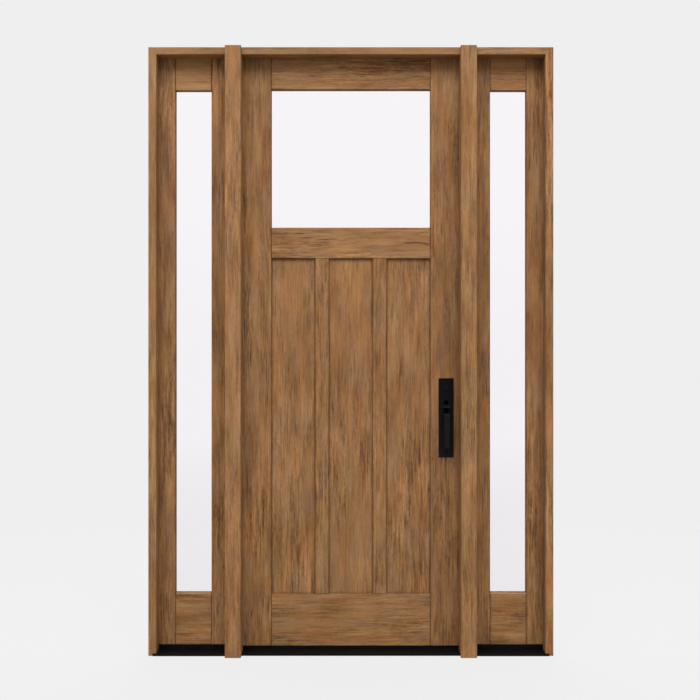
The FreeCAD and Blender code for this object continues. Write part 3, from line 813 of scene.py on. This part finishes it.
def spread(model, name, places):        # copies of one model, turned, set down and joined in one piece
    copies = []
    for point, turned, spin in places:
        takeUp(model)
        bpy.ops.object.duplicate()
        copy = bpy.context.object
        way = Euler([math.radians(angle) for angle in turned]).to_quaternion()
        copy.rotation_mode = "QUATERNION"
        copy.rotation_quaternion = way @ Quaternion((0, 0, 1), math.radians(spin))
        copy.location = point
        copies.append(settle())
    putDown()
    for copy in copies:
        copy.select_set(True)
    bpy.context.view_layer.objects.active = copies[0]
    if len(copies) > 1:
        bpy.ops.object.join()
    piece = bpy.context.object
    piece.name = name
    return piece


def handOver(piece, body, finish):
    takeUp(piece)
    bpy.ops.object.shade_smooth_by_angle(angle=math.radians(smoothAngle))
    piece.data.name = piece.name
    piece.data.materials.clear()
    piece.data.materials.append(finishes[finish])
    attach(piece, body)
    putDown()
    print("  made", piece.name, "with", len(piece.data.polygons), "faces")


screw = {
    "width": 0.0084,
    "corners": 20,
    "rise": 0.0008,                     # how far the oval head stands proud
    "rim": 0.0006,
    "rimSteps": 3,
    "crossReach": 0.0022,
    "crossWidth": 0.0011,
    "crossDepth": 0.0006,
    "crossTaper": (0.7, 0.6, 1.0),      # how the recess narrows towards its floor
    "overcut": 0.001,                   # how far the bar that cuts it stands out of the head
    "seed": 7,
}


def makeScrew():                        # an oval head with a cross recess
    top = screw["rise"]
    head = newDisc(screw["width"] / 2, top, screw["corners"])
    easeRim(head, top, screw["rim"], screw["rimSteps"])
    reach, half = screw["crossReach"], screw["crossWidth"] / 2
    floor = top - screw["crossDepth"]
    for quarter in (0, 90):
        bar = newBlock((-reach, -half, floor), (reach, half, top + screw["overcut"]))
        bpy.ops.object.mode_set(mode="EDIT")
        pick(bar, looksDown)
        bpy.ops.transform.resize(value=screw["crossTaper"], center_override=(0, 0, floor))
        takeUp(bar)
        bar.rotation_euler.z = math.radians(quarter)
        settle()
        cutAway(head, bar)
    return head


hingeScrews = {
    "centres": (0.2750, 0.94333, 1.61167, 2.2800),
    # up from the centre, and Y
    "places": ((-0.038, 0.030), (-0.013, 0.044), (0.013, 0.030), (0.038, 0.044)),
    "frameFace": -0.460,
    "doorFace": -0.455,
}

plateScrews = {
    "x": 0.393,
    "face": 0.061,                      # the indoor plate's outer face
    "heights": (0.819, 1.115),
}

edgeScrews = {
    "heights": (0.955, 1.141),
    "depth": 0.034,
    "faceplate": 0.45385,
    "faceplateTilt": -2.99,             # the lock edge is planed to a bevel
    "strike": 0.460,
}


def makeScrews():                       # each set is one piece
    draw = random.Random(screw["seed"])
    model = makeScrew()

    def screwAt(x, y, z, facing):       # each is driven to a different angle
        return (x, y, z), facing, draw.uniform(0, 90)

    frameSide = []
    doorSide = []
    for centre in hingeScrews["centres"]:
        for up, depth in hingeScrews["places"]:
            frameSide.append(screwAt(hingeScrews["frameFace"], depth, centre + up, faceLockWay))
            doorSide.append(screwAt(hingeScrews["doorFace"], depth, centre + up, faceHingeWay))
    onPlate = [screwAt(plateScrews["x"], plateScrews["face"], height, faceIndoors)
               for height in plateScrews["heights"]]
    tilted = (0, 90, edgeScrews["faceplateTilt"])
    onEdge = [screwAt(edgeScrews["faceplate"], edgeScrews["depth"], height, tilted)
              for height in edgeScrews["heights"]]
    onStrike = [screwAt(edgeScrews["strike"], edgeScrews["depth"], height, faceHingeWay)
                for height in edgeScrews["heights"]]
    for name, body, places in (("hinge_screws_frame", "frame", frameSide),
                               ("hinge_screws_door", "door", doorSide),
                               ("inside_plate_screws", "door", onPlate),
                               ("faceplate_screws", "door", onEdge),
                               ("strike_screws", "frame", onStrike)):
        handOver(spread(model, name, places), body, "hardware")
    discard(model)


hingeTip = {
    "corners": 20,
    "neck": 0.0040,                     # radius next to the barrel
    "neckLength": 0.0008,
    "radius": 0.0054,
    "flare": 0.0001,                    # length over which it widens
    "length": 0.0036,
    "crown": 0.0016,
    "crownSteps": 4,
    "pin": (-0.4575, 0.066),
    "under": 0.050,                     # from a hinge's middle down to its barrel's end
}


def makeHingeTips():                    # the turned buttons that close the barrels from below
    model = newDisc(hingeTip["neck"], hingeTip["neckLength"], hingeTip["corners"])
    bpy.ops.object.mode_set(mode="EDIT")
    pick(model, looksUp)
    bpy.ops.mesh.extrude_region_move(TRANSFORM_OT_translate={"value": (0, 0, hingeTip["flare"])})
    widen = hingeTip["radius"] / hingeTip["neck"]
    bpy.ops.transform.resize(value=(widen, widen, 1.0), center_override=(0, 0, 0))
    bpy.ops.mesh.extrude_region_move(TRANSFORM_OT_translate={"value": (0, 0, hingeTip["length"])})
    takeUp(model)
    top = hingeTip["neckLength"] + hingeTip["flare"] + hingeTip["length"]
    easeRim(model, top, hingeTip["crown"], hingeTip["crownSteps"])
    x, y = hingeTip["pin"]
    places = [((x, y, centre - hingeTip["under"]), faceDown, 0) for centre in hingeScrews["centres"]]
    handOver(spread(model, "hinge_tips", places), "frame", "hardware")
    discard(model)


doorSweep = {
    "low": (-0.452, 0.0175, 0.0236),
    "high": (0.450, 0.0505, 0.0250),
    "fins": (0.0205, 0.0290, 0.0385, 0.0475),
    "thickness": 0.0012,
    "drop": 0.0030,                     # the fins end just above the threshold
    "lip": 0.0004,
    "lipSteps": 2,
}


def makeDoorSweep():                    # a strip under the leaf with four fins
    sweep = newBlock(doorSweep["low"], doorSweep["high"])
    bpy.ops.object.mode_set(mode="EDIT")
    half = doorSweep["thickness"] / 2
    for depth in doorSweep["fins"]:
        for side in (-half, half):
            bpy.ops.mesh.select_all(action="SELECT")
            bpy.ops.mesh.bisect(plane_co=(0, depth + side, 0), plane_no=(0, 1, 0))
    pick(sweep, lambda face: looksDown(face)
         and any(abs(face.calc_center_median().y - depth) < half for depth in doorSweep["fins"]))
    bpy.ops.mesh.extrude_region_move(TRANSFORM_OT_translate={"value": (0, 0, -doorSweep["drop"])})
    foot = doorSweep["low"][2] - doorSweep["drop"]
    pick(sweep, lambda edge: all(corner.co.z < foot + slack for corner in edge.verts), "EDGE")
    bpy.ops.mesh.bevel(offset=doorSweep["lip"], segments=doorSweep["lipSteps"], affect="EDGES")
    bpy.ops.mesh.select_all(action="SELECT")
    bpy.ops.mesh.normals_make_consistent(inside=False)
    sweep.name = "door_sweep"
    handOver(sweep, "door", "rubber")


tread = {
    "half": 0.430,
    "width": 0.0024,
    "rise": 0.0008,
    "bed": 0.0006,                      # how deep a flute sits in the slope
    "rounding": 0.28,                   # share of its width
    "roundingSteps": 3,
    "depths": (-0.049, -0.037, -0.025, -0.013, -0.001),
    "start": (-0.0565, 0.0090),         # the slope's lower edge, Y and Z
    "end": (0.0120, 0.0125),
}


def makeTread():                        # raised flutes along the threshold's slope
    flute = newBlock((-tread["half"], -tread["width"] / 2, -tread["bed"]),
                     (tread["half"], tread["width"] / 2, tread["rise"]))
    easeRim(flute, tread["rise"], tread["width"] * tread["rounding"], tread["roundingSteps"])
    (y0, z0), (y1, z1) = tread["start"], tread["end"]
    tilt = math.degrees(math.atan2(z1 - z0, y1 - y0))
    places = [((0, depth, z0 + (depth - y0) * (z1 - z0) / (y1 - y0)), (tilt, 0, 0), 0)
              for depth in tread["depths"]]
    handOver(spread(flute, "threshold_flutes", places), "frame", "sill")
    discard(flute)


lights = {                              # each clear opening outdoors: X, Z of two corners, and its body
    "door": ((-0.328, 1.7515), (0.328, 2.3215), "door"),
    "left_sidelight": ((-0.7235, 0.2445), (-0.575, 2.3175), "frame"),
    "right_sidelight": ((0.575, 0.2445), (0.7235, 2.3175), "frame"),
}

glazingTape = {
    "width": 0.0010,
    "depth": 0.0022,
    "tuck": 0.0002,                     # pressed in under the wood's edge
    "glassFace": 0.0309,
    "slant": 0.0006,
    "slantSteps": 2,
}


def makeTape(name, low, high, body):    # the dark line between the glass and the wood, outdoors
    width, tuck, glassFace = glazingTape["width"], glazingTape["tuck"], glazingTape["glassFace"]
    (x0, z0), (x1, z1) = low, high
    middleX, middleZ = (x0 + x1) / 2, (z0 + z1) / 2
    putDown()
    bpy.ops.mesh.primitive_plane_add(size=1.0, location=(middleX, glassFace, middleZ),
                                     rotation=(math.radians(90), 0, 0))
    bpy.context.object.scale = (x1 - x0 + 2 * tuck, z1 - z0 + 2 * tuck, 1.0)
    tape = settle()
    bpy.ops.object.mode_set(mode="EDIT")
    bpy.ops.mesh.select_all(action="SELECT")
    bpy.ops.mesh.inset(thickness=width + tuck)
    bpy.ops.mesh.delete(type="FACE")
    bpy.ops.mesh.select_all(action="SELECT")
    bpy.ops.mesh.extrude_region_move(TRANSFORM_OT_translate={"value": (0, -glazingTape["depth"], 0)})
    front = glassFace - glazingTape["depth"]
    wide, tall = (x1 - x0) / 2 - width / 2, (z1 - z0) / 2 - width / 2

    def onSight(edge):                  # on the front, along the glass and not along the wood
        return all(corner.co.y < front + slack and abs(corner.co.x - middleX) < wide
                   and abs(corner.co.z - middleZ) < tall for corner in edge.verts)

    pick(tape, onSight, "EDGE")
    bpy.ops.mesh.bevel(offset=glazingTape["slant"], segments=glazingTape["slantSteps"], affect="EDGES")
    bpy.ops.mesh.select_all(action="SELECT")
    bpy.ops.mesh.normals_make_consistent(inside=False)
    tape.name = name
    handOver(tape, body, "rubber")


brad = {
    "radius": 0.0010,
    "corners": 10,
    "rise": 0.0002,
    "rim": 0.00008,
    "beadFace": 0.056,
    "off": 0.0080,                      # from the clear opening's edge, on the bead's flat
    "pitch": 0.140,
    "fewest": 2,                        # on any one bead
}


def bradPlaces(low, high):              # along both upright beads, then along both level ones
    (x0, z0), (x1, z1) = low, high
    off = brad["off"]

    def shares(length):
        count = max(brad["fewest"], round(length / brad["pitch"]))
        return [(index + 0.5) / count for index in range(count)]

    spots = [(x, z0 + share * (z1 - z0)) for x in (x0 - off, x1 + off) for share in shares(z1 - z0)]
    spots += [(x0 + share * (x1 - x0), z) for z in (z0 - off, z1 + off) for share in shares(x1 - x0)]
    return [((x, brad["beadFace"], z), faceIndoors, 0) for x, z in spots]


def makeBrads():                        # pins that hold the glazing beads, indoors
    model = newDisc(brad["radius"], brad["rise"], brad["corners"])
    easeRim(model, brad["rise"], brad["rim"], 1)
    byBody = {}
    for low, high, body in lights.values():
        byBody.setdefault(body, []).extend(bradPlaces(low, high))
    for body, places in byBody.items():
        handOver(spread(model, "bead_brads_" + body, places), body, "steel")
    discard(model)


keyPlug = {
    "radius": 0.0066,
    "corners": 32,
    "rise": 0.0005,
    "rim": 0.0002,
    "rimSteps": 2,
    "slotLow": (-0.0020, -0.0055, -0.001),      # the keyway runs right through the plug
    "slotHigh": (0.0020, 0.0055, 0.002),
    "face": (0.393, 0.0040, 1.092),
}


def makeKeyPlug():                      # the turning middle of the outdoor cylinder
    plug = newDisc(keyPlug["radius"], keyPlug["rise"], keyPlug["corners"])
    easeRim(plug, keyPlug["rise"], keyPlug["rim"], keyPlug["rimSteps"])
    cutAway(plug, newBlock(keyPlug["slotLow"], keyPlug["slotHigh"]))
    places = [(keyPlug["face"], faceOutdoors, 0)]
    handOver(spread(plug, "key_plug", places), "door", "grip")
    discard(plug)


setScrew = {
    "radius": 0.0018,
    "corners": 12,
    "rise": 0.0004,
    "rim": 0.0004,
    "wall": 0.0002,                     # of the socket, which slopes
    "depth": 0.8,                       # of the socket, as a share of the rise
    "place": (0.393, 0.086, 1.0061),
}


def makeSetScrew():                     # under the lever's neck
    head = newDisc(setScrew["radius"], setScrew["rise"], setScrew["corners"])
    bpy.ops.object.mode_set(mode="EDIT")
    pick(head, looksUp)
    bpy.ops.mesh.inset(thickness=setScrew["rim"])
    bpy.ops.mesh.inset(thickness=setScrew["wall"], depth=-setScrew["rise"] * setScrew["depth"])
    putDown()
    places = [(setScrew["place"], faceDown, 0)]
    handOver(spread(head, "lever_set_screw", places), "door", "steel")
    discard(head)


makeScrews()
makeHingeTips()
makeDoorSweep()
makeTread()
for light in sorted(lights):
    makeTape(light + "_glazing_tape", *lights[light])
makeBrads()
makeKeyPlug()
makeSetScrew()
print("fittings ready")
